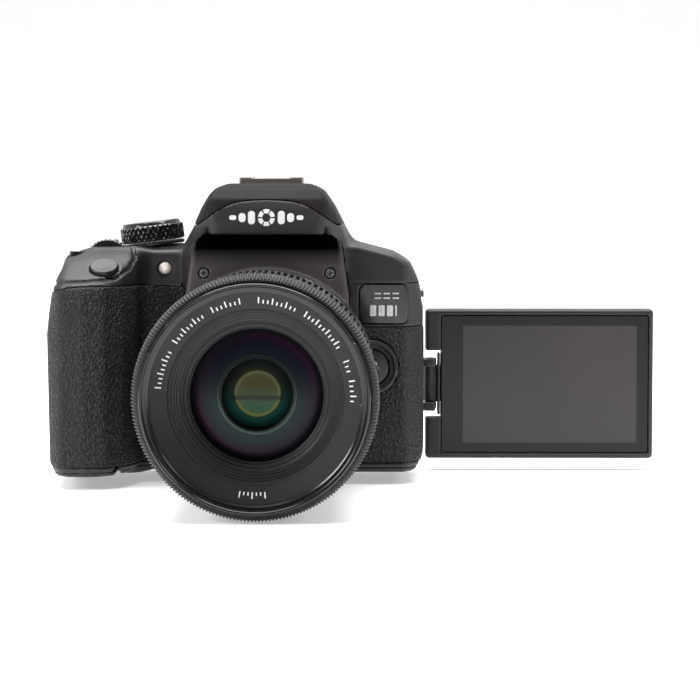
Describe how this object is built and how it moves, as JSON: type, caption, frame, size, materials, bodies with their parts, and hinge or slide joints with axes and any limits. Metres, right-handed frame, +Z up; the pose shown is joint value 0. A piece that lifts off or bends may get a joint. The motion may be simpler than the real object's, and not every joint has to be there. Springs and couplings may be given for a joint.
{
  "type": "dslr camera",
  "caption": "Single-lens reflex camera with a ridged zoom lens, a deep right-hand grip, a pop-up flash over the prism and a screen folded out to the side, facing forward.",
  "frame": {"origin": "centre of the tripod socket's mouth on the base, straight under the lens axis", "axes": "+Z up from the base, the lens points along -Y, and +X is to the right of someone facing the lens, the side where the screen folds out"},
  "size_m": [0.2154, 0.1615, 0.1067],
  "materials": {
    "body_plastic": "fine matte black, lightly speckled",
    "grip_leather": "pebbled black rubber",
    "soft_rubber": "smooth matte black rubber",
    "lens_plastic": "satin black",
    "ring_rubber": "ridged black rubber",
    "gloss_black": "gloss black",
    "metal_mount": "turned satin steel",
    "black_metal": "black paint over metal",
    "screw_steel": "blackened steel",
    "socket_steel": "plain steel",
    "coated_glass": "multi-coated optical glass",
    "clear_plastic": "clear ribbed plastic",
    "lamp_lens": "pale translucent lens",
    "display_glass": "dark display glass",
    "mirror_glass": "front-silvered glass",
    "circuit": "green circuit board",
    "battery_case": "dark grey plastic",
    "sensor_glass": "sensor cover glass"
  },
  "bodies": {
    "camera": {"front_cover": "body_plastic", "rear_cover": "body_plastic", "top_cover": "body_plastic", "base_cover": "body_plastic", "front_plate": "body_plastic", "grip_rubber": "grip_leather", "side_rubber": "grip_leather", "thumb_rubber": "grip_leather", "badge_plate": "gloss_black", "strap_lugs": "metal_mount", "hot_shoe": "black_metal", "eyecup": "soft_rubber", "viewfinder_optics": "coated_glass", "mirror_box": "body_plastic", "shutter_unit": "black_metal", "image_sensor": "sensor_glass", "main_board": "circuit", "lens_mount_ring": "metal_mount", "tripod_socket": "socket_steel", "battery": "battery_case", "memory_card": "circuit", "terminal_block": "socket_steel", "self_timer_lamp": "lamp_lens", "cover_screws": "screw_steel", "lens_barrel": "lens_plastic", "rear_optics": "coated_glass"},
    "zoom_ring": {"zoom_ring": "ring_rubber"},
    "focus_ring": {"focus_ring": "ring_rubber"},
    "inner_barrel": {"inner_barrel": "lens_plastic", "name_ring": "lens_plastic", "front_element": "coated_glass"},
    "af_switch": {"af_switch": "lens_plastic"},
    "stabiliser_switch": {"stabiliser_switch": "lens_plastic"},
    "shutter_button": {"shutter_button": "gloss_black"},
    "iso_button": {"iso_button": "body_plastic"},
    "lens_release_button": {"lens_release_button": "body_plastic"},
    "menu_button": {"menu_button": "body_plastic"},
    "info_button": {"info_button": "body_plastic"},
    "live_view_button": {"live_view_button": "body_plastic"},
    "af_on_button": {"af_on_button": "body_plastic"},
    "exposure_lock_button": {"exposure_lock_button": "body_plastic"},
    "af_point_button": {"af_point_button": "body_plastic"},
    "playback_button": {"playback_button": "body_plastic"},
    "erase_button": {"erase_button": "body_plastic"},
    "quick_menu_button": {"quick_menu_button": "body_plastic"},
    "set_button": {"set_button": "body_plastic"},
    "main_dial": {"main_dial": "gloss_black"},
    "mode_dial": {"mode_dial": "gloss_black"},
    "power_switch": {"power_switch": "gloss_black"},
    "quick_dial": {"quick_dial": "gloss_black"},
    "dioptre_knob": {"dioptre_knob": "gloss_black"},
    "flash": {"flash_head": "body_plastic", "flash_window": "clear_plastic"},
    "arm": {"screen_arm": "body_plastic"},
    "screen": {"screen_shell": "body_plastic", "lcd_panel": "display_glass"},
    "battery_door": {"battery_door": "body_plastic"},
    "terminal_cover_front": {"terminal_cover_front": "soft_rubber"},
    "terminal_cover_rear": {"terminal_cover_rear": "soft_rubber"},
    "main_mirror": {"main_mirror": "mirror_glass"}
  },
  "joints": [
    {"name": "zoom_turn", "type": "hinge", "parent": "camera", "child": "zoom_ring", "pos_m": [0, -0.09, 0.0346], "axis": [0, 1, 0], "range_deg": [0, 75]},
    {"name": "barrel_extend", "type": "slide", "parent": "camera", "child": "inner_barrel", "axis": [0, -1, 0], "range_m": [0, 0.038]},
    {"name": "focus_turn", "type": "hinge", "parent": "camera", "child": "focus_ring", "pos_m": [0, -0.113, 0.0346], "axis": [0, 1, 0], "continuous": true},
    {"name": "af_switch_slide", "type": "slide", "parent": "camera", "child": "af_switch", "axis": [0, 0, -1], "range_m": [0, 0.003]},
    {"name": "stabiliser_switch_slide", "type": "slide", "parent": "camera", "child": "stabiliser_switch", "axis": [0, 0, -1], "range_m": [0, 0.003]},
    {"name": "shutter_button_press", "type": "slide", "parent": "camera", "child": "shutter_button", "axis": [0, 0.5, -0.866], "range_m": [0, 0.0012], "stiffness_N_per_m": 900},
    {"name": "iso_button_press", "type": "slide", "parent": "camera", "child": "iso_button", "axis": [0, 0, -1], "range_m": [0, 0.0007], "stiffness_N_per_m": 800},
    {"name": "lens_release_button_press", "type": "slide", "parent": "camera", "child": "lens_release_button", "axis": [0, 1, 0], "range_m": [0, 0.0015], "stiffness_N_per_m": 900},
    {"name": "menu_button_press", "type": "slide", "parent": "camera", "child": "menu_button", "axis": [0, -1, 0], "range_m": [0, 0.0005], "stiffness_N_per_m": 800},
    {"name": "info_button_press", "type": "slide", "parent": "camera", "child": "info_button", "axis": [0, -1, 0], "range_m": [0, 0.0005], "stiffness_N_per_m": 800},
    {"name": "live_view_button_press", "type": "slide", "parent": "camera", "child": "live_view_button", "axis": [0, -1, 0], "range_m": [0, 0.0005], "stiffness_N_per_m": 800},
    {"name": "af_on_button_press", "type": "slide", "parent": "camera", "child": "af_on_button", "axis": [0, -1, 0], "range_m": [0, 0.0005], "stiffness_N_per_m": 800},
    {"name": "exposure_lock_button_press", "type": "slide", "parent": "camera", "child": "exposure_lock_button", "axis": [0, -1, 0], "range_m": [0, 0.0005], "stiffness_N_per_m": 800},
    {"name": "af_point_button_press", "type": "slide", "parent": "camera", "child": "af_point_button", "axis": [0, -1, 0], "range_m": [0, 0.0005], "stiffness_N_per_m": 800},
    {"name": "playback_button_press", "type": "slide", "parent": "camera", "child": "playback_button", "axis": [0, -1, 0], "range_m": [0, 0.0005], "stiffness_N_per_m": 800},
    {"name": "erase_button_press", "type": "slide", "parent": "camera", "child": "erase_button", "axis": [0, -1, 0], "range_m": [0, 0.0005], "stiffness_N_per_m": 800},
    {"name": "quick_menu_button_press", "type": "slide", "parent": "camera", "child": "quick_menu_button", "axis": [0, -1, 0], "range_m": [0, 0.0005], "stiffness_N_per_m": 800},
    {"name": "set_button_press", "type": "slide", "parent": "camera", "child": "set_button", "axis": [0, -1, 0], "range_m": [0, 0.0005], "stiffness_N_per_m": 800},
    {"name": "main_dial_turn", "type": "hinge", "parent": "camera", "child": "main_dial", "pos_m": [-0.0566, -0.007, 0.073], "axis": [0, 1, 0], "continuous": true},
    {"name": "mode_dial_turn", "type": "hinge", "parent": "camera", "child": "mode_dial", "pos_m": [-0.0416, 0.005, 0.0799], "axis": [-0.1219, 0, 0.9925], "continuous": true},
    {"name": "power_switch_turn", "type": "hinge", "parent": "camera", "child": "power_switch", "pos_m": [-0.0416, 0.005, 0.0799], "axis": [0.1219, 0, -0.9925], "range_deg": [0, 35]},
    {"name": "quick_dial_turn", "type": "hinge", "parent": "camera", "child": "quick_dial", "pos_m": [-0.0475, 0.028, 0.03], "axis": [0, 1, 0], "continuous": true},
    {"name": "dioptre_turn", "type": "hinge", "parent": "camera", "child": "dioptre_knob", "pos_m": [-0.022, 0.0284, 0.084], "axis": [1, 0, 0], "range_deg": [-130, 130]},
    {"name": "flash_raise", "type": "hinge", "parent": "camera", "child": "flash", "pos_m": [0, 0.0078, 0.0972], "axis": [-1, 0, 0], "range_deg": [0, 68]},
    {"name": "screen_swing", "type": "hinge", "parent": "camera", "child": "arm", "pos_m": [0.0572, 0.0275, 0.0274], "axis": [0, 0, -1], "range_deg": [-180, 0]},
    {"name": "screen_tilt", "type": "hinge", "parent": "arm", "child": "screen", "pos_m": [0.0606, 0.0275, 0.0274], "axis": [-1, 0, 0], "range_deg": [0, 270]},
    {"name": "battery_door_open", "type": "hinge", "parent": "camera", "child": "battery_door", "pos_m": [-0.0522, -0.016, 0.0008], "axis": [0, -1, 0], "range_deg": [0, 100]},
    {"name": "terminal_cover_front_open", "type": "hinge", "parent": "camera", "child": "terminal_cover_front", "pos_m": [0.054, -0.01, 0.041], "axis": [0, 0, 1], "range_deg": [-100, 0]},
    {"name": "terminal_cover_rear_open", "type": "hinge", "parent": "camera", "child": "terminal_cover_rear", "pos_m": [0.054, 0.0036, 0.041], "axis": [0, 0, 1], "range_deg": [-100, 0]},
    {"name": "mirror_flip", "type": "hinge", "parent": "camera", "child": "main_mirror", "pos_m": [0, 0.002, 0.0526], "axis": [-1, 0, 0], "range_deg": [0, 45], "stiffness_Nm_per_rad": 0.002, "springref_deg": -17.19}
  ],
  "couplings": [
    {"joint": "zoom_turn", "follows": "barrel_extend", "rad_per_m": 34.446}
  ]
}
